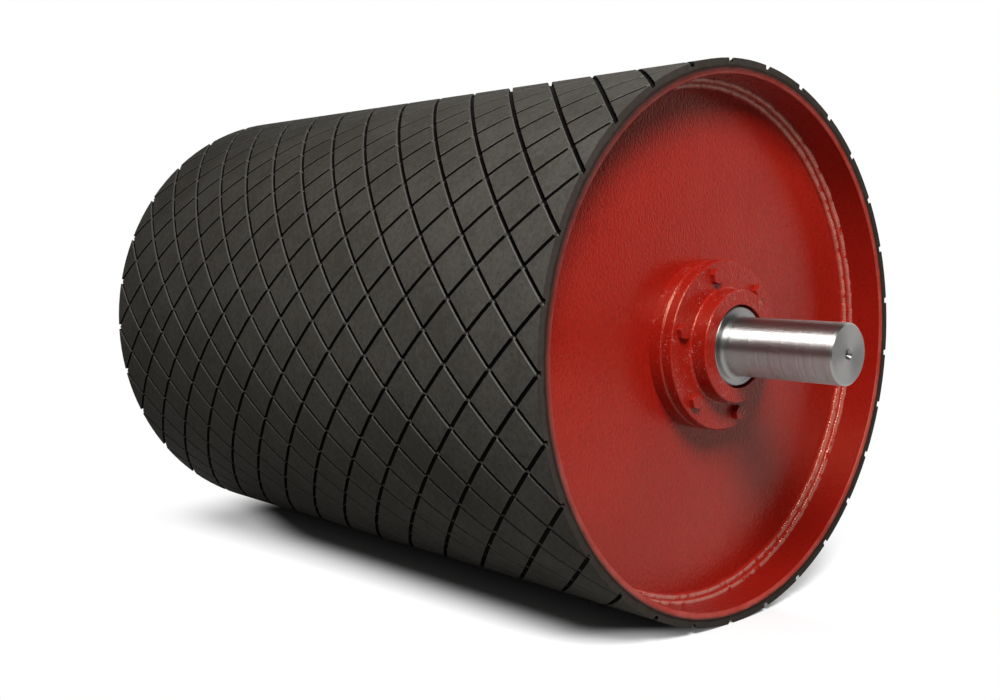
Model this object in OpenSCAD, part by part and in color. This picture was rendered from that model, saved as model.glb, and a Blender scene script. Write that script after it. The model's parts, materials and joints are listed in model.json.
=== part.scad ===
// Conveyor pulley drum: a lagged steel drum that turns on two ball bearings round a fixed axle.
// Millimetres. The origin is the drum's centre, the axle lies along Y and Z is up.

/* [Drum] */
// Outside diameter of the drum tube
tube_d = 508; // [450:1:620]
// Wall thickness of the drum tube
tube_wall = 6.3; // [6:0.1:14]
// Length of the drum across the belt
face_w = 750; // [600:5:1000]
// Chamfer on the inner edge of the tube's ends
tube_chamfer = 0.8; // [0.4:0.1:2]
// Depth of an end disc below the tube's end
disc_recess = 42; // [38:1:60]
// Thickness of an end disc
disc_t = 12; // [8:1:18]
// Gap round a plate or a register in its hole
fit_gap = 0.1; // [0.05:0.05:0.3]
// Leg of the two-bead weld between end disc and tube
disc_weld = 9; // [8:0.5:13]
// Leg of the plain welds on the inner side of an end disc
inner_weld = 6; // [4:0.5:8]

/* [Lagging] */
// Thickness of the rubber lagging
lagging_t = 8; // [6:0.5:12]
// Diamonds around the drum
diamonds_round = 29; // [16:1:29]
// Diamonds along the drum
diamonds_long = 13; // [6:1:13]
// Width of a groove at the top
groove_w = 4.8; // [3:0.1:7]
// Depth of a groove
groove_depth = 3.6; // [2:0.1:5]
// Lean of a groove's wall from top to floor
groove_lean = 0.5; // [0.2:0.1:1]
// Turn of the groove pattern about the axle
pattern_turn = 7.75; // [0:0.25:12]

/* [Hub] */
// Diameter of the housing's spigot through the end disc
spigot_d = 150; // [146:1:154]
// Width of the housing's shoulder on the end disc
housing_shoulder = 5.5; // [5:0.5:8]
// Height of a housing above the end disc
housing_proud = 14.5; // [12:0.5:20]
// Chamfer on the housing's front edge
housing_chamfer = 2; // [1:0.5:3]
// Thickness of the housing's inner lip
lip_t = 14; // [10:1:20]
// Thickness of the paper gasket
gasket_t = 1; // [0.5:0.5:2]
// Step in from the housing's edge to the cover's
cover_step = 0.5; // [0.5:0.5:2]
// Thickness of a cover's flange
cover_t = 10; // [8:0.5:14]
// Diameter of a cover's boss
boss_d = 106; // [102:1:112]
// Height of a cover's boss above its flange
boss_h = 17; // [16:0.5:24]
// Radius between boss and flange
boss_fillet = 2.5; // [1:0.5:4]
// Thickness of the boss's front lip
boss_lip = 8; // [6:0.5:10]
// Gap between the boss's mouth and the axle
mouth_gap = 1.5; // [1:0.1:2.5]
// Reach of the cover's register into the housing
register_l = 6.3; // [5:0.1:8]
// Gap between the register and the bearing
seat_gap = 0.2; // [0.1:0.1:0.4]
// Chamfer on the cover's turned edges
edge_break = 1; // [0.5:0.5:2]

/* [Cover screws] */
// Number of cover screws on each side
screws = 6; // [4:1:8]
// Distance from a cover's edge to the screw circle
screw_edge = 12.5; // [11:0.5:14]
// Turn of the screw circle about the axle
screw_turn = 46; // [0:1:60]
// Thread diameter of a cover screw
screw_d = 8; // [6:1:8]
// Length of a cover screw under its head
screw_l = 25; // [20:1:28]
// Width across the flats of a screw's head
head_af = 13; // [10:0.5:13]
// Height of a screw's head
head_h = 5.3; // [4:0.1:6.5]
// Height of the chamfer that takes a head's corners off
head_chamfer = 0.6; // [0.3:0.1:1]
// Gap round a screw in the cover
screw_clearance = 0.5; // [0.3:0.1:1]
// Gap round a screw in its thread
thread_gap = 0.05; // [0.02:0.01:0.1]
// Depth of a screw hole beyond the screw
drill_margin = 4; // [2:0.5:6]

/* [Bearings] */
// Bore of a bearing, which is the axle's bearing seat
bearing_bore = 75; // [72:1:78]
// Outside diameter of a bearing
bearing_d = 115; // [112:1:118]
// Width of a bearing
bearing_b = 20; // [18:1:24]
// Wall of a bearing's ring behind the balls
ring_wall = 3.25; // [2.75:0.25:4]
// Balls in a bearing
balls = 13; // [10:1:14]
// Gap between a ball and its races
ball_gap = 0.05; // [0.02:0.01:0.1]
// Chamfer on a bearing's corners
ring_chamfer = 1; // [0.6:0.1:1.5]
// Wall thickness of the ball cage
cage_t = 3.6; // [2.5:0.1:4.5]
// Gap between a ball and the cage
cage_gap = 0.15; // [0.1:0.05:0.3]
// Outside diameter of the shaft seal
seal_d = 95; // [92:1:97]
// Width of the shaft seal
seal_b = 10; // [8:1:12]
// Gap between the seal's lip and the axle
lip_gap = 0.05; // [0.02:0.01:0.1]

/* [Axle] */
// Diameter of the axle between the bearings
axle_d = 85; // [82:1:88]
// Diameter of the axle's ends
journal_d = 55; // [45:1:60]
// Free length of an axle end beyond the boss
journal_l = 112; // [80:1:160]
// Radius where an axle end meets its shoulder
journal_fillet = 4; // [2:0.5:5]
// Depth of the axle's shoulder below the boss's face
shoulder_inset = 1.5; // [0.5:0.5:3]
// Chamfer on the axle's edges
axle_chamfer = 1.5; // [1:0.5:2.5]
// Mouth diameter of the centre holes
centre_d = 10.6; // [8:0.1:12]
// Drill diameter of the centre holes
centre_drill = 5; // [4:0.5:6]
// Thickness of a retaining ring
clip_t = 2.5; // [2:0.1:3]
// Depth of a retaining ring's groove
clip_groove = 1.5; // [1:0.1:2]
// Height of a retaining ring above its seat
clip_h = 4.5; // [3:0.5:6]
// Play of a retaining ring in its groove
clip_play = 0.1; // [0.05:0.05:0.2]

/* [Hidden] */
$fn = 96;
paint = [0.60, 0.12, 0.08];
rubber = [0.17, 0.165, 0.155];
steel = [0.72, 0.71, 0.69];
dark_steel = [0.34, 0.33, 0.32];
paper = [0.45, 0.40, 0.31];
seal_rubber = [0.10, 0.10, 0.10];

tube_r = tube_d/2;
tube_inner_r = tube_r - tube_wall;
lagging_r = tube_r + lagging_t;
face_end = face_w/2;

// Places along the axle, from the drum's centre outwards
disc_out = face_end - disc_recess;
disc_in = disc_out - disc_t;
housing_out = disc_out + housing_proud;
cover_in = housing_out + gasket_t;
cover_out = cover_in + cover_t;
boss_out = cover_out + boss_h;
pocket_out = boss_out - boss_lip;
register_end = cover_in - register_l;
bearing_out = register_end - seat_gap;
bearing_in = bearing_out - bearing_b;
bearing_mid = (bearing_out + bearing_in)/2;
housing_in = bearing_in - lip_t;
shoulder_out = boss_out - shoulder_inset;
axle_end = boss_out + journal_l;

// Diameters of the hub
housing_d = spigot_d + 2*housing_shoulder;
cover_d = housing_d - 2*cover_step;
screw_pcd = cover_d - 2*screw_edge;

// Radii of the hub
hub_bore_r = bearing_d/2;
seat_r = bearing_bore/2;
mouth_r = seat_r + mouth_gap;
seal_r = seal_d/2;
screw_tip = cover_out - screw_l;

// Ball bearing
ball_d = (bearing_d - bearing_bore)/2 - 2*ring_wall;
pitch_r = (bearing_bore + bearing_d)/4;
race_r = ball_d/2 + ball_gap;
land = 0.26*ball_d;
cage_w = 1.18*ball_d;

// Angles of the weld's beads: the way they face, half of a bead's arc, and the part that the first one covers
bead_angle = 135;
bead_span = 50;
bead_cover_angle = 15;

// Retaining ring
clip_in_r = seat_r - clip_groove;
clip_a = bearing_out + clip_play;
clip_b = clip_a + clip_t + clip_play;
clip_opening = 24;

// An arc's points, from angle a to angle b
function arc(centre, r, a, b, steps = 6) =
    [for (i = [0:steps]) centre + r*[cos(a + (b - a)*i/steps), sin(a + (b - a)*i/steps)]];

// Turns a profile of [radius, place along the axle] about the axle
module turned(profile) {
    rotate([-90, 0, 0]) rotate_extrude() polygon(profile);
}

// Puts a piece that is drawn at the far end at the named end
module at(side) {
    mirror([0, side == "near" ? 1 : 0, 0]) children();
}

// A cylinder along the axle from place a to place b
module rod(r, a, b) {
    translate([0, a, 0]) rotate([-90, 0, 0]) cylinder(r = r, h = b - a);
}

module ring(inner_r, outer_r, a, b) {
    turned([[inner_r, a], [outer_r, a], [outer_r, b], [inner_r, b]]);
}

// Repeats a piece at each cover screw
module at_screws() {
    for (i = [0:screws - 1])
        rotate([0, -screw_turn - 360*i/screws, 0]) translate([screw_pcd/2, 0, 0]) children();
}

module axle() {
    cone_l = (centre_d - centre_drill)/2/tan(30);
    half = concat(
        [[axle_d/2, 0], [axle_d/2, bearing_in - axle_chamfer], [axle_d/2 - axle_chamfer, bearing_in]],
        [[seat_r, bearing_in], [seat_r, clip_a], [clip_in_r, clip_a], [clip_in_r, clip_b], [seat_r, clip_b]],
        [[seat_r, shoulder_out - axle_chamfer], [seat_r - axle_chamfer, shoulder_out]],
        arc([journal_d/2 + journal_fillet, shoulder_out + journal_fillet], journal_fillet, 270, 180),
        [[journal_d/2, axle_end - axle_chamfer], [journal_d/2 - axle_chamfer, axle_end]],
        [[centre_d/2, axle_end], [centre_drill/2, axle_end - cone_l]],
        [[centre_drill/2, axle_end - 2*cone_l], [0, axle_end - 2*cone_l - centre_drill/4]]
    );
    other_half = [for (i = [len(half) - 1:-1:1]) [half[i].x, -half[i].y]];
    color(steel) turned(concat(half, other_half));
}

module drum_tube() {
    c = tube_chamfer;
    color(paint) turned([
        [tube_inner_r, c - face_end], [tube_inner_r + c, -face_end], [tube_r, -face_end],
        [tube_r, face_end], [tube_inner_r + c, face_end], [tube_inner_r, face_end - c]
    ]);
}

// The lagging is one rubber sleeve. Its diamonds stand on a lattice of half steps, u around the drum
// and v along it: where u + v is odd there is a diamond, and where it is even two grooves cross.
module lagging() {
    steps_u = 2*diamonds_round;
    steps_v = 2*diamonds_long;
    step_u = PI*2*lagging_r/steps_u;
    step_v = face_w/steps_v;
    floor_r = lagging_r - groove_depth;
    inner_r = tube_r/cos(180/steps_u);
    // Half of a groove's width, in steps, which is the same along u and along v
    function open(w) = w/2*norm([step_u, step_v])/(step_u*step_v);
    top = open(groove_w);
    foot = open(groove_w - 2*groove_lean);
    function place(u, v, r) =
        let (a = pattern_turn + 360*u/steps_u) [r*cos(a), v*step_v - face_end, r*sin(a)];
    // West, north, east and south corners of the diamond at u, v
    function corners(u, v, gap, r) = [
        place(u - 1 + gap, v, r), place(u, v == steps_v ? v : v + 1 - gap, r),
        place(u + 1 - gap, v, r), place(u, v == 0 ? 0 : v - 1 + gap, r)
    ];
    diamonds = [for (v = [0:steps_v]) for (i = [0:diamonds_round - 1])
        let (u = 2*i + 1 - v%2) each concat(corners(u, v, top, lagging_r), corners(u, v, foot, floor_r))];
    bore = [for (end = [0, steps_v]) for (u = [0:steps_u - 1]) place(u, end, inner_r)];
    // Point numbers: corner c of the diamond at u, v, with 4 added for its foot, and the bore's points
    function p(u, v, c) = 8*(v*diamonds_round + floor(((u + steps_u)%steps_u)/2)) + c;
    function b(u, end) = len(diamonds) + end*steps_u + (u + steps_u)%steps_u;
    function quad(f) = [[f[0], f[1], f[2]], [f[0], f[2], f[3]]];
    function fan(hub, rim) = [for (i = [0:len(rim) - 2]) [hub, rim[i], rim[i + 1]]];
    function flip(faces) = [for (f = faces) [f[0], f[2], f[1]]];
    tops = [for (v = [0:steps_v]) for (i = [0:diamonds_round - 1]) let (u = 2*i + 1 - v%2)
        each [[p(u, v, 0), p(u, v, 3), p(u, v, 1)], [p(u, v, 3), p(u, v, 2), p(u, v, 1)]]];
    walls = [for (v = [0:steps_v]) for (i = [0:diamonds_round - 1]) let (u = 2*i + 1 - v%2)
        for (to = v == 0 ? [0, 1] : v == steps_v ? [2, 3] : [0:3]) let (from = (to + 1)%4)
            each quad([p(u, v, from), p(u, v, from + 4), p(u, v, to + 4), p(u, v, to)])];
    crossings = [for (v = [0:steps_v]) for (i = [0:diamonds_round - 1]) let (u = 2*i + v%2)
        each v == 0 ? [[p(u - 1, v, 6), p(u + 1, v, 4), p(u, v + 1, 7)]]
            : v == steps_v ? [[p(u - 1, v, 6), p(u, v - 1, 5), p(u + 1, v, 4)]]
            : quad([p(u - 1, v, 6), p(u, v - 1, 5), p(u + 1, v, 4), p(u, v + 1, 7)])];
    floors = [for (v = [0:steps_v - 1]) for (i = [0:diamonds_round - 1]) let (u = 2*i + v%2)
        each concat(
            quad([p(u, v + 1, 7), p(u + 1, v, 4), p(u + 1, v, 5), p(u, v + 1, 6)]),
            quad([p(u - 1, v, 6), p(u, v + 1, 7), p(u, v + 1, 4), p(u - 1, v, 5)])
        )];
    function end_face(v, end, middle) = [for (i = [0:diamonds_round - 1]) let (u = 2*i + 1)
        each concat(
            fan(b(u, end), [b(u + 1, end), p(u, v, 6), p(u, v, 2), p(u, v, middle), p(u, v, 0),
                p(u, v, 4), b(u - 1, end)]),
            [[b(u + 1, end), p(u + 2, v, 4), p(u, v, 6)]]
        )];
    inside = [for (u = [0:steps_u - 1]) each quad([b(u, 0), b(u, 1), b(u + 1, 1), b(u + 1, 0)])];
    color(rubber) polyhedron(
        points = concat(diamonds, bore),
        faces = concat(tops, walls, crossings, floors, end_face(0, 0, 3), flip(end_face(steps_v, 1, 1)),
            inside),
        convexity = 10
    );
}

module end_disc(side) {
    color(paint) at(side) ring(spigot_d/2 + fit_gap, tube_inner_r - fit_gap, disc_in, disc_out);
}

// Two beads side by side in the outer corner, and a plain fillet in the inner one
module disc_weld(side) {
    half_chord = disc_weld*sqrt(2)/4;
    bead_r = half_chord/sin(bead_span);
    corner = [tube_inner_r, disc_out];
    first = corner + [-3, 1]/4*disc_weld + bead_r*cos(bead_span)*[1, -1]/sqrt(2);
    function bead(i, from) = arc(first + i*disc_weld/2*[1, 1], bead_r, from, bead_angle - bead_span);
    color(paint) at(side) {
        turned(concat(
            [corner], bead(0, bead_angle + bead_span), bead(1, bead_angle - bead_cover_angle + bead_span)
        ));
        fillet_weld([tube_inner_r, disc_in], -1);
    }
}

// A plain weld in the corner at the inner face of an end disc, inside or outside the corner's radius
module fillet_weld(corner, inwards) {
    turned([corner, corner + [inwards*inner_weld, 0], corner - [0, inner_weld]]);
}

module bearing_housing(side) {
    color(paint) at(side) difference() {
        turned([
            [hub_bore_r, bearing_in], [hub_bore_r, housing_out],
            [housing_d/2 - housing_chamfer, housing_out], [housing_d/2, housing_out - housing_chamfer],
            [housing_d/2, disc_out], [spigot_d/2, disc_out], [spigot_d/2, housing_in],
            [axle_d/2 + mouth_gap, housing_in], [axle_d/2 + mouth_gap, bearing_in]
        ]);
        at_screws() rod(screw_d/2 + thread_gap, screw_tip - drill_margin, housing_out + 1);
    }
}

module housing_weld(side) {
    color(paint) at(side) fillet_weld([spigot_d/2, disc_in], 1);
}

module cover_gasket(side) {
    color(paper) at(side) difference() {
        ring(hub_bore_r, cover_d/2 - edge_break, housing_out, cover_in);
        at_screws() rod(screw_d/2 + screw_clearance, housing_out - 1, cover_in + 1);
    }
}

module bearing_cover(side) {
    f = boss_fillet;
    color(paint) at(side) difference() {
        turned(concat(
            [[seal_r, register_end], [hub_bore_r - fit_gap, register_end], [hub_bore_r - fit_gap, cover_in]],
            [[cover_d/2, cover_in], [cover_d/2, cover_out - edge_break], [cover_d/2 - edge_break, cover_out]],
            arc([boss_d/2 + f, cover_out + f], f, 270, 180),
            [[boss_d/2, boss_out - edge_break], [boss_d/2 - edge_break, boss_out], [mouth_r, boss_out]],
            [[mouth_r, pocket_out], [seal_r, pocket_out]]
        ));
        at_screws() rod(screw_d/2 + screw_clearance, cover_in - 1, cover_out + 1);
    }
}

module cover_screws(side) {
    color(paint) at(side) at_screws() {
        rod(screw_d/2, screw_tip, cover_out);
        hex_head();
    }
}

// A hexagon head with the round chamfer that takes its corners off
module hex_head() {
    corner_r = head_af/2/cos(30);
    intersection() {
        translate([0, cover_out, 0]) rotate([-90, 0, 0]) cylinder(r = corner_r, h = head_h, $fn = 6);
        turned([
            [0, cover_out], [corner_r, cover_out], [corner_r, cover_out + head_h - head_chamfer],
            [head_af/2 - head_chamfer/3, cover_out + head_h], [0, cover_out + head_h]
        ]);
    }
}

module outer_ring(side) {
    c = ring_chamfer;
    color(steel) at(side) difference() {
        turned([
            [pitch_r + land, bearing_in], [hub_bore_r - c, bearing_in], [hub_bore_r, bearing_in + c],
            [hub_bore_r, bearing_out - c], [hub_bore_r - c, bearing_out], [pitch_r + land, bearing_out]
        ]);
        race();
    }
}

module inner_ring(side) {
    c = ring_chamfer;
    color(steel) at(side) difference() {
        turned([
            [seat_r, bearing_in + c], [seat_r + c, bearing_in], [pitch_r - land, bearing_in],
            [pitch_r - land, bearing_out], [seat_r + c, bearing_out], [seat_r, bearing_out - c]
        ]);
        race();
    }
}

// The round path that the balls run in
module race() {
    translate([0, bearing_mid, 0]) rotate([-90, 0, 0]) rotate_extrude()
        translate([pitch_r, 0]) circle(r = race_r);
}

// Repeats a piece at each ball
module at_balls() {
    for (i = [0:balls - 1]) rotate([0, 360*i/balls, 0]) translate([pitch_r, bearing_mid, 0]) children();
}

module bearing_balls(side) {
    color(steel) at(side) at_balls() sphere(d = ball_d);
}

module ball_cage(side) {
    color(dark_steel) at(side) difference() {
        ring(pitch_r - cage_t/2, pitch_r + cage_t/2, bearing_mid - cage_w/2, bearing_mid + cage_w/2);
        at_balls() rotate([0, 90, 0]) cylinder(r = ball_d/2 + cage_gap, h = 2*cage_t, center = true);
    }
}

module shaft_seal(side) {
    a = pocket_out - seal_b;
    lip_r = seat_r + lip_gap;
    web = 0.3*seal_b;
    color(seal_rubber) at(side) turned([
        [seal_r, a], [seal_r, pocket_out], [lip_r + 2, pocket_out], [lip_r + 1, a + 0.55*seal_b],
        [lip_r, a + 0.35*seal_b], [lip_r + 1.2, a + 0.2*seal_b], [lip_r + 3.2, a + 0.2*seal_b],
        [lip_r + 4, pocket_out - web], [seal_r - 2, pocket_out - web], [seal_r - 2, a]
    ]);
}

module retaining_ring(side) {
    color(dark_steel) at(side) translate([0, clip_a, 0]) rotate([-90, 0, 0]) rotate(clip_opening/2)
        rotate_extrude(angle = 360 - clip_opening) translate([clip_in_r, 0])
            square([clip_groove + clip_h, clip_t]);
}

axle();
drum_tube();
lagging();
for (side = ["near", "far"]) {
    end_disc(side);
    disc_weld(side);
    bearing_housing(side);
    housing_weld(side);
    cover_gasket(side);
    bearing_cover(side);
    cover_screws(side);
    outer_ring(side);
    inner_ring(side);
    bearing_balls(side);
    ball_cage(side);
    shaft_seal(side);
    retaining_ring(side);
}
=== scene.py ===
import json
import math

import bmesh
import bpy
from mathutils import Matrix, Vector, noise


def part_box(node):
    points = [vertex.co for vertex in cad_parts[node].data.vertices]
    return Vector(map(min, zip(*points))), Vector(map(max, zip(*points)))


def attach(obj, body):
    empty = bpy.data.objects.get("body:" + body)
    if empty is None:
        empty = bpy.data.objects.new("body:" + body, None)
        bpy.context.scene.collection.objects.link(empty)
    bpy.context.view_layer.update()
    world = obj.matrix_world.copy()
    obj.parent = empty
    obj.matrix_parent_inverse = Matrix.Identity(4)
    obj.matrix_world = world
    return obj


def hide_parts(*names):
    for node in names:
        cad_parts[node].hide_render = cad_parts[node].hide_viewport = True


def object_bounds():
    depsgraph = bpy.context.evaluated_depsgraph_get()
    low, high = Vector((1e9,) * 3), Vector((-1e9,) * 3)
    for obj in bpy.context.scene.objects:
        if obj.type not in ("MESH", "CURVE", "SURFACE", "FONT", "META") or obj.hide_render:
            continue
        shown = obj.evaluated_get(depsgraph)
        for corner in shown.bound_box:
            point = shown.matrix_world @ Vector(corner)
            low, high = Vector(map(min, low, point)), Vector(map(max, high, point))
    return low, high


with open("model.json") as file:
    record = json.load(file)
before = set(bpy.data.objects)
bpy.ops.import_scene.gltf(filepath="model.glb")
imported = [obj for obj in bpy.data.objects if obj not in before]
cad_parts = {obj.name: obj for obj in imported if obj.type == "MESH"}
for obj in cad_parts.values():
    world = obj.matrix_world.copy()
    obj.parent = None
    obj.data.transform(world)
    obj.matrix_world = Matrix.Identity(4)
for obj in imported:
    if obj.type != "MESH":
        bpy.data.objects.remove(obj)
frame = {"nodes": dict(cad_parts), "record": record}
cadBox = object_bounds()
nodes = frame["nodes"]
print("frame loaded,", len(nodes), "nodes")

# Sizes that finishes and pieces share, from the frame
drum = {
    "halfWidth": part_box("lagging")[1].y,
    "outside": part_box("lagging")[1].x,
    "tubeOutside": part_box("drum_tube")[1].x,
}


# Camera: stands at the drum's near left, a little above its middle
view = {
    "place": (-0.894222, -1.024355, 0.091056), "azimuth": -42.375, "elevation": 4.987,
    "lens": 42.145, "sensor": 36,
}

cameraData = bpy.data.cameras.new("mainCamera")
cameraData.lens = view["lens"]
cameraData.sensor_width = view["sensor"]
camera = bpy.data.objects.new("mainCamera", cameraData)
camera.location = view["place"]
camera.rotation_euler = (math.radians(90 - view["elevation"]), 0, math.radians(view["azimuth"]))
bpy.context.scene.collection.objects.link(camera)
bpy.context.scene.camera = camera
bpy.context.scene.view_settings.view_transform = "Standard"
print("camera set")


# A node's output that does arithmetic: each operator adds the Math node that it needs
class Wire:
    def __init__(self, finish, socket):
        self.finish = finish
        self.socket = socket

    def pick(self, name):
        return Wire(self.finish, self.socket.node.outputs[name])

    def math(self, operation, *others):
        return self.finish.node("Math", {"operation": operation}, self, *others)

    def __add__(self, other):
        return self.math("ADD", other)

    def __sub__(self, other):
        return self.math("SUBTRACT", other)

    def __rsub__(self, other):
        return self.finish.node("Math", {"operation": "SUBTRACT"}, other, self)

    def __mul__(self, other):
        return self.math("MULTIPLY", other)

    __radd__ = __add__
    __rmul__ = __mul__

    # 0 below low, 1 above high, and a soft step between
    def step(self, low, high):
        settings = {"interpolation_type": "SMOOTHSTEP"}
        return self.finish.node("MapRange", settings, Value=self, From_Min=low, From_Max=high)


# A node tree with its shader, its fixed values and the one method that makes its nodes
class Finish:
    def __init__(self, block, shader="Principled BSDF", coords="Object", **fixed):
        self.block = block
        block.use_nodes = True
        self.tree = block.node_tree
        self.shader = self.tree.nodes[shader]
        for socket, value in fixed.items():
            self.shader.inputs[socket.replace("_", " ")].default_value = value
        self.coords = self.node("TexCoord").pick(coords)

    def node(self, kind, settings=None, *values, **sockets):
        made = self.tree.nodes.new("ShaderNode" + kind)
        for key, value in (settings or {}).items():
            setattr(made, key, value)
        for key, value in [*enumerate(values), *sockets.items()]:
            if isinstance(key, str):
                names = {key, key.replace("_", " ")}
                key = next(
                    i for i, s in enumerate(made.inputs) if s.enabled and names & {s.name, s.identifier}
                )
            if isinstance(value, Wire):
                self.tree.links.new(value.socket, made.inputs[key])
            else:
                made.inputs[key].default_value = value
        return Wire(self, next(s for s in made.outputs if s.enabled))

    def vector(self, operation, *values, **sockets):
        return self.node("VectorMath", {"operation": operation}, *values, **sockets)

    def feed(self, **wires):
        for socket, wire in wires.items():
            self.tree.links.new(wire.socket, self.shader.inputs[socket.replace("_", " ")])

    # Object coordinates stretched by a factor along each axis
    def stretched(self, x, y, z):
        return self.node("Mapping", None, self.coords, Scale=(x, y, z))

    def noise(self, scale, detail=3, roughness=0.55, coords=None):
        place = coords or self.coords
        return self.node("TexNoise", None, Vector=place, Scale=scale, Detail=detail, Roughness=roughness)

    def mix(self, factor, first, second):
        first, second = (c if isinstance(c, Wire) else (*c, 1) for c in (first, second))
        return self.node("Mix", {"data_type": "RGBA"}, Factor_Float=factor, A_Color=first, B_Color=second)

    def bump(self, height, distance, normal=None):
        under = {"Normal": normal} if normal else {}
        return self.node("Bump", None, Height=height, Distance=distance, Strength=1.0, **under)

    # Place along the axle, distance from it and angle round it
    def alongAxle(self):
        return self.node("SeparateXYZ", None, self.coords).pick("Y")

    def fromAxle(self):
        flat = self.vector("MULTIPLY", self.coords, (1, 0, 1))
        return self.vector("LENGTH", flat).pick("Value")

    def aroundAxle(self):
        parts = self.node("SeparateXYZ", None, self.coords)
        return parts.pick("Z").math("ARCTAN2", parts.pick("X"))

    # Depth behind an end face of the drum, as a negative number
    def fromEnd(self):
        return self.alongAxle().math("ABSOLUTE") - drum["halfWidth"]

    # Direction away from the axle in the room, where normals are given, so that it turns with the piece
    def outwards(self):
        flat = self.vector("MULTIPLY", self.coords, (1, 0, 1))
        settings = {"vector_type": "VECTOR", "convert_from": "OBJECT", "convert_to": "WORLD"}
        turned = self.node("VectorTransform", settings, flat)
        return self.vector("NORMALIZE", turned)


# Red enamel, sprayed thick: an orange peel that hangs a little downwards, and soft gloss
redPaint = {
    "colour": (0.285, 0.0095, 0.0048), "thin": (0.33, 0.0135, 0.007), "dustAndPaintedLight": (0.6, 0.2, 0.16),
    "deep": (0.17, 0.0045, 0.0025), "dirt": (0.035, 0.013, 0.009), "glintColour": (0.55, 0.3, 0.27),
    "gloss": 0.42, "glossTint": (1.0, 0.62, 0.42, 1), "rough": 0.2, "roughVary": 0.14, "roughScale": 28,
    "clouds": 5.5, "thinStep": (0.35, 0.7), "pits": 560, "pitStep": (0.42, 0.72), "pitShare": 0.5,
    "paintedGlints": 750, "glintStep": (0.64, 0.69), "glintPatches": 70, "glintPatchStep": (0.48, 0.58),
    "peel": 480, "peelHang": 0.62, "peelHeight": 0.0004, "waves": 34, "waveHeight": 0.0002,
    "edgeRadius": 0.0005,
}

# The tube's end faces are worn thin by rubbing and dusty, dirty along the rubber, and rounded inwards; away
# from the end faces the tube is darker, as painted shade in the recess.
# Steps are measured from the end face, or outwards from the tube's outside
tubeRim = {
    "gloss": 0.6, "rimStep": (-0.0012, -0.0003), "rubs": 60, "rubStep": (0.3, 0.7), "dustShare": 0.25,
    "dirtStep": (-0.001, 0.0016), "dirtWander": 0.004, "dirtScale": 80, "dirtShare": 0.85,
    "boreShade": 0.35, "rough": 0.2, "lean": 0.9, "leanStep": (-0.0056, -0.0028),
}


def makeRedPaint(name, peelShare=1.0, worn=False, paintedGlints=0):
    look = redPaint
    gloss = look["gloss"] * (tubeRim["gloss"] if worn else 1)
    paint = Finish(bpy.data.materials.new(name), Specular_IOR_Level=gloss, Specular_Tint=look["glossTint"])
    hang = paint.stretched(1, 1, look["peelHang"])
    cloud = paint.noise(look["clouds"], 3)
    peel = paint.noise(look["peel"], 2, 0.5, hang)
    colour = paint.mix(cloud.step(*look["thinStep"]), look["colour"], look["thin"])
    pits = paint.noise(look["pits"], 2, 0.6, hang).step(*look["pitStep"])
    colour = paint.mix(pits * look["pitShare"], colour, look["deep"])
    # Pale specks are painted glints: small highlights painted into the colour
    if paintedGlints:
        glints = paint.noise(look["paintedGlints"], 1).step(*look["glintStep"])
        glints *= paint.noise(look["glintPatches"], 2).step(*look["glintPatchStep"])
        colour = paint.mix(glints * paintedGlints, colour, look["glintColour"])
    rough = look["rough"] + look["roughVary"] * paint.noise(look["roughScale"], 3)
    soft = paint.node("Bevel", {"samples": 4}, Radius=look["edgeRadius"])
    if worn:
        edge = tubeRim
        fromTube = paint.fromAxle() - drum["tubeOutside"]
        rim = paint.fromEnd().step(*edge["rimStep"])
        rubbedAndLit = rim * (0.35 + 0.65 * paint.noise(edge["rubs"], 4).step(*edge["rubStep"]))
        outer = (fromTube + edge["dirtWander"] * paint.noise(edge["dirtScale"], 4)).step(*edge["dirtStep"])
        colour = paint.mix(rubbedAndLit * edge["dustShare"], colour, look["dustAndPaintedLight"])
        # Away from the end faces the tube is darker: painted shade, seen on the inner wall of the recess
        colour = paint.mix((1 - rim) * edge["boreShade"], colour, look["deep"])
        colour = paint.mix(rim * outer * edge["dirtShare"], colour, look["dirt"])
        rough = rough + edge["rough"] * rim
        lean = rim * (-edge["lean"]) * (0.6 + 0.4 * fromTube.step(*edge["leanStep"]))
        across = paint.vector("SCALE", paint.outwards(), Scale=lean)
        soft = paint.vector("ADD", soft, across)
        soft = paint.vector("NORMALIZE", soft)
    waves = paint.bump(paint.noise(look["waves"], 1, 0.4, hang), look["waveHeight"], soft)
    paint.feed(
        Base_Color=colour, Roughness=rough,
        Normal=paint.bump(peel, look["peelHeight"] * peelShare, waves),
    )
    return paint.block


# The same enamel over weld ripples, which wander round the bead, with dusty crests on the bead faces that
# look along the axle, partly a painted highlight
weldPaint = {
    "dustAndPaintedLight": (0.46, 0.2, 0.165), "dustAndHighlightScale": 110, "dustAndHighlightStep": (0.34, 0.5), "crestStep": (0.6, 0.92),
    "gloss": 2.4, "rough": 0.15, "roughVary": 0.12, "clouds": 9,
    "ripples": 520, "wanderScale": 45, "wander": 16, "lumps": 130, "rippleHeight": 0.00045,
}


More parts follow.
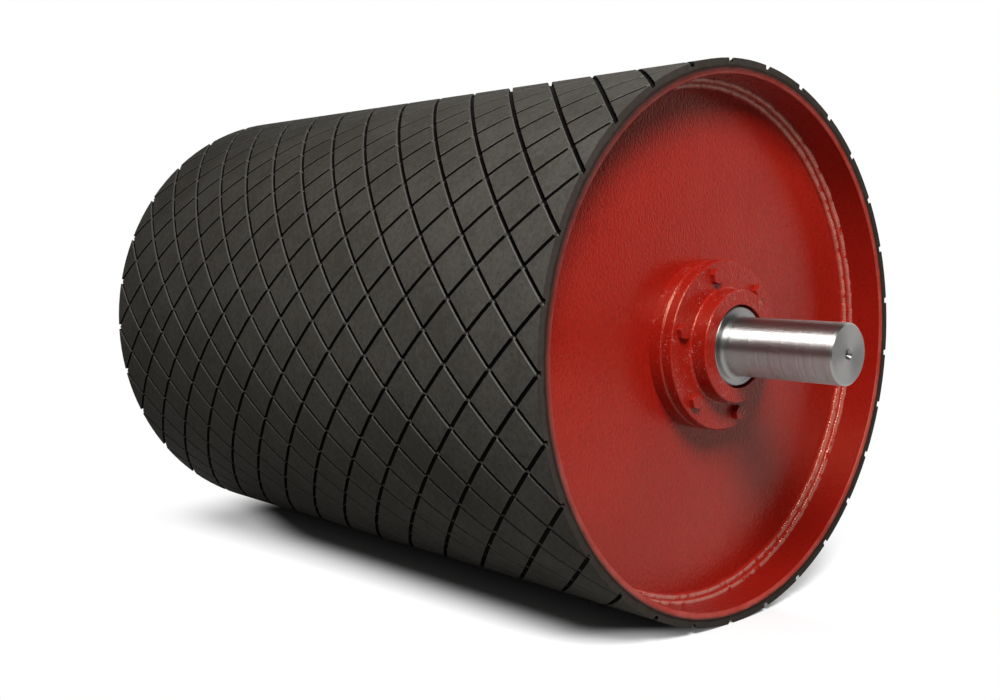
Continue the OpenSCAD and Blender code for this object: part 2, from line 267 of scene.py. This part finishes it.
def makeWeldPaint():
    look = weldPaint
    gloss, tint = look["gloss"] * redPaint["gloss"], redPaint["glossTint"]
    paint = Finish(bpy.data.materials.new("weldPaint"), Specular_IOR_Level=gloss, Specular_Tint=tint)
    cloud = paint.noise(look["clouds"], 3)
    colour = paint.mix(cloud.step(*redPaint["thinStep"]), redPaint["colour"], redPaint["thin"])
    wander = paint.noise(look["wanderScale"], 3) * look["wander"]
    ripple = ((paint.aroundAxle() * look["ripples"] + wander).math("SINE") + 1) * 0.5
    lumps = paint.noise(look["lumps"], 2)
    # Pale dusty colour on the bead faces that look along the axle, where the lamp's highlight lies: partly a
    # painted highlight
    crest = paint.node("SeparateXYZ", None, paint.node("NewGeometry").pick("Normal")).pick("Y")
    crest = crest.math("ABSOLUTE").step(*look["crestStep"])
    crest *= paint.noise(look["dustAndHighlightScale"], 2).step(*look["dustAndHighlightStep"])
    colour = paint.mix(crest * (0.5 + 0.3 * ripple), colour, look["dustAndPaintedLight"])
    paint.feed(
        Base_Color=colour, Roughness=look["rough"] + look["roughVary"] * paint.noise(60, 2),
        Normal=paint.bump(ripple * 0.5 + lumps * 1.6, look["rippleHeight"]),
    )
    return paint.block


# Lagging: the groove lattice, which its piece and its rubber share
lagging = {
    "diamondsRound": 29, "diamondsLong": 13, "grooveWidth": 0.0043, "grooveDepth": 0.0036, "wallLean": 0.0005,
    "turn": 7.75, "edgeRound": 0.0003, "topSteps": 4, "boreGap": 0.00005,
}

# Moulded rubber: dark, with a fine grain, dusty clouds and paler worn edges on the diamonds; painted shade in
# the grooves, and painted highlights on up-facing walls and past crossings
rubber = {
    "colour": (0.055, 0.051, 0.044), "cloud": (0.082, 0.077, 0.068), "worn": (0.13, 0.125, 0.115),
    "brown": (0.050, 0.036, 0.026), "pale": (0.1, 0.096, 0.087), "groove": (0.006, 0.0055, 0.005),
    "dustAndPaintedLight": (0.2, 0.19, 0.17), "dirt": (0.022, 0.015, 0.012),
    "gloss": 0.03, "rough": 0.62, "roughVary": 0.2,
    "grain": 900, "grainHeight": 0.00012, "mottle": 120, "mottleHeight": 0.0003,
    "cloudStep": (0.36, 0.64), "blots": 330, "blotStep": (0.52, 0.66), "blotShare": 0.6,
    # The worn edge of a diamond, from a groove's middle, in half diamonds
    "wornFrom": (0.1, 0.106), "wornTo": (0.112, 0.138), "wornShare": 0.5,
    # Dusty colour and a pale strip just past a crossing, in diamonds: a painted highlight that carries the
    # lit walls' line over the crossing
    "crossingFrom": (0.045, 0.06), "crossingTo": (0.105, 0.135), "crossingShare": 0.8,
    "stripFrom": (0.05, 0.053), "stripTo": (0.061, 0.068), "stripShare": 0.6,
    # Measured from the end face, and outwards from the drum's outside
    "endStep": (-0.0008, -0.0002), "blackStep": (-0.00077, -0.00027), "litDeeper": 0.0011,
    "jointStep": (-0.0054, -0.0028), "jointWander": 0.004,
}


def makeRubber():
    look = rubber
    skin = Finish(bpy.data.materials.new("laggingRubber"), Specular_IOR_Level=look["gloss"])
    clouds = skin.noise(14, 5, 0.62) * 0.5 + skin.noise(190, 4, 0.7) * 0.5
    # How far a point is from the middle of a groove, in half diamonds
    around = (skin.aroundAxle() - math.radians(lagging["turn"])) * (lagging["diamondsRound"] / math.pi)
    along = skin.alongAxle() * (lagging["diamondsLong"] / drum["halfWidth"]) + lagging["diamondsLong"]
    one, other = (around + along).math("PINGPONG", 1), (around - along).math("PINGPONG", 1)
    inside = one.math("MINIMUM", other)
    worn = inside.step(*look["wornFrom"]) * (1 - inside.step(*look["wornTo"]))
    worn *= skin.noise(160, 4, 0.7).step(0.35, 0.6)
    # How far a point of the grooves that lean the other way is past a crossing
    past = ((around + along) * 0.5).math("FRACT")
    pastCrossing = past.step(*look["crossingFrom"]) * (1 - past.step(*look["crossingTo"])) * (1 - other.step(0.1, 0.11))
    strip = past.step(*look["stripFrom"]) * (1 - past.step(*look["stripTo"]))
    # Walls that face back against the turning, on the drum's left side the walls that face up: paler, as a
    # painted highlight
    surface = skin.coords.pick("Normal")
    against = skin.vector("CROSS_PRODUCT", (0, 1, 0), skin.coords)
    against = skin.vector("NORMALIZE", against)
    rubbedAndLit = skin.vector("DOT_PRODUCT", surface, against).pick("Value").step(0.2, 0.5)
    colour = skin.mix(clouds.step(*look["cloudStep"]), look["colour"], look["cloud"])
    blots = skin.noise(look["blots"], 3, 0.7).step(*look["blotStep"])
    colour = skin.mix(blots * look["blotShare"], colour, look["brown"])
    colour = skin.mix(worn * look["wornShare"], colour, look["worn"])
    # Painted shade: down a groove the walls turn black, and deeper down on the walls that get the painted
    # highlight
    ends = skin.fromEnd().step(*look["endStep"])
    height = skin.fromAxle() - drum["outside"]
    black = 1 - (height + look["litDeeper"] * rubbedAndLit).step(*look["blackStep"])
    # A pale dusty patch past each crossing: partly a painted highlight
    crossingDustAndHighlight = pastCrossing * skin.noise(260, 3).step(0.25, 0.55) * look["crossingShare"]
    # A pale strip past each crossing: a painted highlight
    colour = skin.mix(strip * look["stripShare"], colour, look["pale"])
    # Up-facing walls are paler: a painted highlight
    colour = skin.mix(rubbedAndLit * (0.5 + 0.5 * skin.noise(160, 4, 0.7).step(0.3, 0.6)), colour, look["pale"])
    # The grooves' black: painted shade
    colour = skin.mix((1 - ends) * black, colour, look["groove"])
    colour = skin.mix((1 - ends) * crossingDustAndHighlight, colour, look["dustAndPaintedLight"])
    # Dirt lies on the end faces, most along the joint of rubber and tube
    joint = 1 - (height + look["jointWander"] * skin.noise(70, 3)).step(*look["jointStep"])
    colour = skin.mix(ends * (0.65 + 0.35 * joint), colour, look["dirt"])
    grain = skin.bump(skin.noise(look["mottle"], 3), look["mottleHeight"])
    skin.feed(
        Base_Color=colour, Roughness=look["rough"] + look["roughVary"] * clouds,
        Normal=skin.bump(skin.noise(look["grain"], 2, 0.7), look["grainHeight"], grain),
    )
    return skin.block


# Turned steel: fine tool marks tip the surface to and fro along the axle, or outwards on a faced end
turnedSteel = {"colour": (0.44, 0.43, 0.415), "rough": 0.26, "pitch": 0.00045, "lean": 0.75, "facedLean": 0.3}
bearingSteel = {"colour": (0.66, 0.66, 0.66), "rough": 0.12, "pitch": 0.0003, "lean": 0.08, "facedLean": 0.05}
toolMarks = {
    "wanderScale": 700, "wander": 9, "depthScale": 420, "roughScale": 900, "roughVary": 0.06,
    "holeRadius": 0.004, "holeEdge": 0.0004, "facedTone": 0.6, "holeShade": 0.3,
}


def makeTurnedSteel(name, look):
    steel = Finish(bpy.data.materials.new(name), Metallic=1.0)
    colour, lean = look["colour"], look["lean"]
    surface = steel.node("NewGeometry").pick("Normal")
    faced = steel.node("SeparateXYZ", None, surface).pick("Y").math("ABSOLUTE").step(0.6, 0.8)
    place = steel.alongAxle() * (1 - faced) + steel.fromAxle() * faced

    def marks(scale):
        settings = {"noise_dimensions": "1D"}
        return steel.node("TexNoise", settings, W=place * scale, Scale=1.0, Detail=2.0, Roughness=0.6)

    wander = toolMarks["wander"] * marks(toolMarks["wanderScale"])
    tool = (place * (math.tau / look["pitch"]) + wander).math("SINE")
    tip = tool * (0.55 + 0.9 * marks(toolMarks["depthScale"])) * (lean + (look["facedLean"] - lean) * faced)
    alongTip = steel.vector("SCALE", (0, 1, 0), Scale=tip * (1 - faced))
    outTip = steel.vector("SCALE", steel.outwards(), Scale=tip * faced)
    normal = steel.vector("ADD", surface, alongTip)
    normal = steel.vector("ADD", normal, outTip)
    normal = steel.vector("NORMALIZE", normal)
    tone = steel.mix(steel.noise(14, 2).step(0.3, 0.75), colour, tuple(0.9 * c for c in colour))
    tone = steel.mix(faced * 0.6, tone, tuple(toolMarks["facedTone"] * c for c in colour))
    # The centre hole is darker: painted shade in the hole
    hole = toolMarks["holeRadius"]
    inHole = 1 - steel.fromAxle().step(hole - toolMarks["holeEdge"], hole)
    tone = steel.mix(inHole, tone, tuple(toolMarks["holeShade"] * c for c in colour))
    rough = look["rough"] + toolMarks["roughVary"] * marks(toolMarks["roughScale"])
    steel.feed(Base_Color=tone, Roughness=rough, Normal=normal)
    return steel.block


# Pressed steel, oiled paper and seal rubber of the pieces inside the hub
insideHub = {
    "cageSteel": {
        "colour": (0.25, 0.24, 0.23), "other": (0.18, 0.17, 0.16),
        "rough": 0.35, "metallic": 1.0, "clouds": 120,
    },
    "gasketPaper": {
        "colour": (0.17, 0.13, 0.08), "other": (0.11, 0.08, 0.05),
        "rough": 0.7, "metallic": 0.0, "clouds": 200,
    },
    "sealRubber": {
        "colour": (0.02, 0.02, 0.02), "other": (0.03, 0.03, 0.028),
        "rough": 0.45, "metallic": 0.0, "clouds": 150,
    },
}


def makeInsideHub(name):
    look = insideHub[name]
    plain = Finish(bpy.data.materials.new(name), Metallic=look["metallic"])
    cloud = plain.noise(look["clouds"], 4)
    plain.feed(
        Base_Color=plain.mix(cloud.step(0.3, 0.7), look["colour"], look["other"]),
        Roughness=look["rough"] + 0.15 * cloud,
        Normal=plain.bump(plain.noise(look["clouds"] * 12, 2), 0.00005),
    )
    return plain.block


finishes = {
    "red_paint": makeRedPaint("redPaint"),
    "screw_paint": makeRedPaint("screwPaint", peelShare=1.6),
    "weld_paint": makeWeldPaint(),
    "lagging_rubber": makeRubber(),
    "axle_steel": makeTurnedSteel("turnedSteel", turnedSteel),
    "bearing_steel": makeTurnedSteel("bearingSteel", bearingSteel),
    "cage_steel": makeInsideHub("cageSteel"),
    "gasket_paper": makeInsideHub("gasketPaper"),
    "seal_rubber": makeInsideHub("sealRubber"),
}
# The tube and the hub's castings take the same enamel with more or less peel
ownFinish = {"drum_tube": makeRedPaint("tubePaint", peelShare=0.8, worn=True)}
# The castings also get the painted glints
castPaint = makeRedPaint("castPaint", peelShare=1.2, paintedGlints=0.6)
for side in ("near", "far"):
    ownFinish["bearing_housing_" + side] = ownFinish["bearing_cover_" + side] = castPaint
for part in frame["record"]["subparts"]:
    materials = nodes[part["node"]].data.materials
    materials.clear()
    materials.append(ownFinish.get(part["node"], finishes[part["material_slot"]]))
print("finishes made:", len(finishes) + 2)


# Turns a finished bmesh into a piece that rides on the drum and stands for a CAD node
def addPiece(name, bm, material, node, sharp=30):
    mesh = bpy.data.meshes.new(name)
    bm.to_mesh(mesh)
    bm.free()
    mesh.shade_smooth()
    mesh.set_sharp_from_angle(angle=math.radians(sharp))
    mesh.materials.append(material)
    piece = bpy.data.objects.new(name, mesh)
    bpy.context.scene.collection.objects.link(piece)
    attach(piece, "drum")
    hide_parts(node)
    print(name, "made,", len(mesh.polygons), "faces")
    return piece


# One diamond is modelled flat, repeated into a sheet, cut to the drum's width and wrapped
def makeLagging():
    look = lagging
    low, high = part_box("lagging")
    outer = min(high.x, high.z, -low.x, -low.z)
    bore = drum["tubeOutside"] + look["boreGap"]
    stepAround = math.pi * outer / look["diamondsRound"]
    stepAlong = (high.y - low.y) / 2 / look["diamondsLong"]

    bm = bmesh.new()
    bmesh.ops.create_circle(bm, cap_ends=True, radius=1, segments=4)
    bmesh.ops.scale(bm, vec=(stepAround, stepAlong, 1), verts=bm.verts)
    top = bm.faces[:]
    floorInset = look["grooveWidth"] / 2 - look["wallLean"]
    bmesh.ops.inset_individual(bm, faces=top, thickness=floorInset, use_even_offset=True)
    bmesh.ops.inset_individual(
        bm, faces=top, thickness=look["wallLean"], depth=look["grooveDepth"], use_even_offset=True
    )
    bmesh.ops.bevel(
        bm, geom=top[0].edges[:], offset=look["edgeRound"], segments=1, profile=0.5,
        affect="EDGES", material=-1,
    )
    sides = [e for e in bm.edges if e.calc_length() > stepAround / 2]
    bmesh.ops.subdivide_edges(bm, edges=sides, cuts=look["topSteps"] - 1, use_grid_fill=True)

    diamond = bm.verts[:] + bm.edges[:] + bm.faces[:]
    for i in range(1, look["diamondsRound"]):
        copied = bmesh.ops.duplicate(bm, geom=diamond)["geom"]
        verts = [g for g in copied if isinstance(g, bmesh.types.BMVert)]
        bmesh.ops.translate(bm, vec=(2 * i * stepAround, 0, 0), verts=verts)
    bmesh.ops.translate(bm, vec=(stepAround, low.y, 0), verts=bm.verts)
    row = bm.verts[:] + bm.edges[:] + bm.faces[:]
    for i in range(1, 2 * look["diamondsLong"] + 1):
        copied = bmesh.ops.duplicate(bm, geom=row)["geom"]
        verts = [g for g in copied if isinstance(g, bmesh.types.BMVert)]
        bmesh.ops.translate(bm, vec=(-(i % 2) * stepAround, i * stepAlong, 0), verts=verts)
    bmesh.ops.remove_doubles(bm, verts=bm.verts, dist=1e-5)
    for place, way in ((low.y, -1), (high.y, 1)):
        everything = bm.verts[:] + bm.edges[:] + bm.faces[:]
        bmesh.ops.bisect_plane(
            bm, geom=everything, plane_co=(0, place, 0), plane_no=(0, way, 0), dist=1e-6, clear_outer=True
        )

    for vert in bm.verts:
        angle = vert.co.x / outer + math.radians(look["turn"])
        radius = outer - look["grooveDepth"] + vert.co.z
        vert.co = (radius * math.cos(angle), vert.co.y, radius * math.sin(angle))
    bmesh.ops.remove_doubles(bm, verts=bm.verts, dist=1e-5)

    # The ends close inwards to the tube, and the bore joins them
    rims = [e for e in bm.edges if e.is_boundary]
    made = bmesh.ops.extrude_edge_only(bm, edges=rims)["geom"]
    for vert in (g for g in made if isinstance(g, bmesh.types.BMVert)):
        across = Vector((vert.co.x, 0, vert.co.z)).normalized() * bore
        vert.co = (across.x, vert.co.y, across.z)
    bmesh.ops.remove_doubles(bm, verts=bm.verts, dist=1e-6)
    bmesh.ops.bridge_loops(bm, edges=[e for e in bm.edges if e.is_boundary])
    bmesh.ops.recalc_face_normals(bm, faces=bm.faces)
    print("lagging open edges:", sum(not e.is_manifold for e in bm.edges))
    addPiece("diamondLagging", bm, finishes["lagging_rubber"], "lagging")


makeLagging()


# Two weld beads between end disc and tube, laid by hand: each one wanders and swells a little.
# roundness, apart and sunk are shares of the leg
weldBeads = {
    "leg": 0.009, "roundness": 0.4615, "apart": 0.5402, "sunk": 0.0402, "innerLeg": 0.006,
    "stepsRound": 900, "stepsAcross": 14, "innerSteps": 180, "innerCurve": 0.42, "tubeGap": 0.0001,
    "wander": 0.0009, "wanderScale": 45, "swell": 0.0008, "swellScale": 110, "fineScale": 420,
}


def makeWeld(side):
    look = weldBeads
    way = -1 if side == "near" else 1
    low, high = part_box("end_disc_" + side)
    tubeInner = high.x + look["tubeGap"]
    innerFace, outerFace = sorted((abs(low.y), abs(high.y)))
    innerFace *= way
    beadRadius = look["roundness"] * look["leg"]
    apart, sunk = look["apart"] * look["leg"], look["sunk"] * look["leg"]
    rows = ((tubeInner - apart, outerFace + sunk), (tubeInner - sunk, outerFace + apart))
    bm = bmesh.new()
    for radius, along in rows:
        ring = bmesh.ops.create_circle(bm, segments=look["stepsAcross"], radius=beadRadius)["verts"]
        bmesh.ops.translate(bm, vec=(radius, way * along, 0), verts=ring)
        edges = list({e for v in ring for e in v.link_edges})
        bmesh.ops.spin(
            bm, geom=ring + edges, cent=(0, 0, 0), axis=(0, 1, 0), angle=math.tau, steps=look["stepsRound"],
            use_merge=True,
        )
    for vert in bm.verts:
        out = Vector((vert.co.x, 0, vert.co.z))
        row = min(rows, key=lambda r: abs(out.length - r[0]) + abs(abs(vert.co.y) - r[1]))
        centre = out.normalized() * row[0] + Vector((0, way * row[1], 0))
        # Each bead of each side has its own wander
        seed = Vector((0, row[0] * 90 + way * 7, 0))
        swell = 1 + look["swell"] / beadRadius * noise.noise(centre * look["swellScale"] + seed)
        swell += 0.5 * look["swell"] / beadRadius * noise.noise(centre * look["fineScale"] + seed)
        sway = Vector((0, way * look["wander"] * noise.noise(centre * look["wanderScale"] + seed), 0))
        vert.co = centre + sway + (vert.co - centre) * swell
    # The plain weld on the disc's inner side
    corner = Vector((tubeInner, innerFace, 0))
    leg = look["innerLeg"]
    middle = leg * look["innerCurve"]
    steps = ((0, 0), (leg, 0), (middle, middle), (0, leg))
    points = [corner - Vector((across, way * along, 0)) for across, along in steps]
    verts = [bm.verts.new(p) for p in points]
    edges = [bm.edges.new((verts[i - 1], verts[i])) for i in range(4)]
    bmesh.ops.spin(
        bm, geom=verts + edges, cent=(0, 0, 0), axis=(0, 1, 0), angle=math.tau, steps=look["innerSteps"],
        use_merge=True,
    )
    bmesh.ops.recalc_face_normals(bm, faces=bm.faces)
    print("weld open edges:", sum(not e.is_manifold for e in bm.edges))
    addPiece("discWeld_" + side, bm, finishes["weld_paint"], "disc_weld_" + side, sharp=50)


makeWeld("near")
makeWeld("far")


# Studio: one lamp, and a pale floor that takes the shadow near the drum and is white further out
studio = {
    "floorRadius": 1.6, "shadeStep": (0.34, 0.49), "floorColour": 0.42, "floorSeen": 1.6,
    "paintedShadow": 0.35, "paintedShadowStep": (0.1, 0.36), "floorInMirror": 0.3, "glowInMirror": 0.9, "worldLight": 0.07,
    # Painted light, a glow for camera rays, lightens the shadow away from the line that the drum rests on,
    # and closer to it at both ends
    "floorPaintedLight": 0.34, "liftStep": (0.107, 0.165), "farShift": 0.05, "farStep": (0.15, 0.4),
    "nearShift": 0.06, "nearStep": (0.28, 0.36),
    # Mirrored rays see the white backdrop towards this direction, and a dim room elsewhere
    "backdropWay": (0.95, 0.3, 0), "backdropStep": (0.5, 0.6), "roomLight": 0.04,
    "lamps": {"key": {"size": (0.62, 0.62), "place": (-0.77, -1.22, 1.03), "power": 36}},
}

bm = bmesh.new()
bmesh.ops.create_circle(bm, cap_ends=True, radius=studio["floorRadius"], segments=96)
bmesh.ops.translate(bm, vec=(0, 0, cadBox[0][2]), verts=bm.verts)
floorMesh = bpy.data.meshes.new("floor")
bm.to_mesh(floorMesh)
bm.free()
floor = bpy.data.objects.new("floor", floorMesh)
bpy.context.scene.collection.objects.link(floor)


# 1 for rays that look straight at a surface, and 1 for rays that see its mirror image
def seenDirectly(finish):
    ray = finish.node("LightPath")
    mirrored = ray.pick("Is Glossy Ray").math("MAXIMUM", ray.pick("Is Transmission Ray"))
    return ray.pick("Is Camera Ray"), mirrored


ground = Finish(bpy.data.materials.new("whiteGround"))
direct, mirrored = seenDirectly(ground)
seen = direct.math("MAXIMUM", mirrored)
flat = ground.vector("MULTIPLY", ground.coords, (1, 1, 0))
outside = ground.vector("LENGTH", flat).pick("Value")
outside = outside.step(*studio["shadeStep"])
# Painted shadow: the ground darkens softly towards the line that the drum rests on
ways = ground.node("SeparateXYZ", None, ground.coords)
aside = ways.pick("X").math("ABSOLUTE")
close = 1 - aside.step(*studio["paintedShadowStep"])
seenTone = studio["floorSeen"] * (1 - studio["paintedShadow"] * close)
tone = studio["floorColour"] + direct * (seenTone - studio["floorColour"])
tone += mirrored * (studio["floorInMirror"] - studio["floorColour"])
shade = ground.node("BsdfDiffuse", None, Color=tone)
glow = ground.node("Emission", None, Color=(1, 1, 1, 1), Strength=direct + mirrored * studio["glowInMirror"])
mixed = ground.node("MixShader", None, outside * seen, shade, glow)
# Where the painted light lifts the floor's shadow
clear = aside + studio["farShift"] * ways.pick("Y").step(*studio["farStep"])
clear += studio["nearShift"] * (0 - ways.pick("Y")).step(*studio["nearStep"])
clear = clear.step(*studio["liftStep"])
paintedLight = studio["floorPaintedLight"] * direct * clear * (1 - outside)
paintedLight = ground.node("Emission", None, Color=(1, 1, 1, 1), Strength=paintedLight)
mixed = ground.node("AddShader", None, mixed, paintedLight)
ground.tree.links.new(mixed.socket, ground.tree.nodes["Material Output"].inputs["Surface"])
floor.data.materials.append(ground.block)

world = bpy.data.worlds.new("studio")
bpy.context.scene.world = world
sky = Finish(world, "Background", "Generated")
direct, mirrored = seenDirectly(sky)
backdrop = sky.vector("DOT_PRODUCT", sky.coords, studio["backdropWay"]).pick("Value")
backdrop = backdrop.step(*studio["backdropStep"])
inMirror = studio["roomLight"] + (1 - studio["roomLight"]) * backdrop
level = studio["worldLight"] + mirrored * (inMirror - studio["worldLight"])
sky.feed(Strength=level + direct * (1 - level))
sky.shader.inputs["Color"].default_value = (1, 1, 1, 1)

for name, look in studio["lamps"].items():
    data = bpy.data.lights.new(name, "AREA")
    data.shape = "RECTANGLE"
    data.size, data.size_y = look["size"]
    data.energy = look["power"]
    lamp = bpy.data.objects.new(name, data)
    lamp.visible_camera = False
    lamp.location = look["place"]
    lamp.rotation_euler = (-Vector(look["place"])).to_track_quat("-Z", "Y").to_euler()
    bpy.context.scene.collection.objects.link(lamp)
print("studio set")
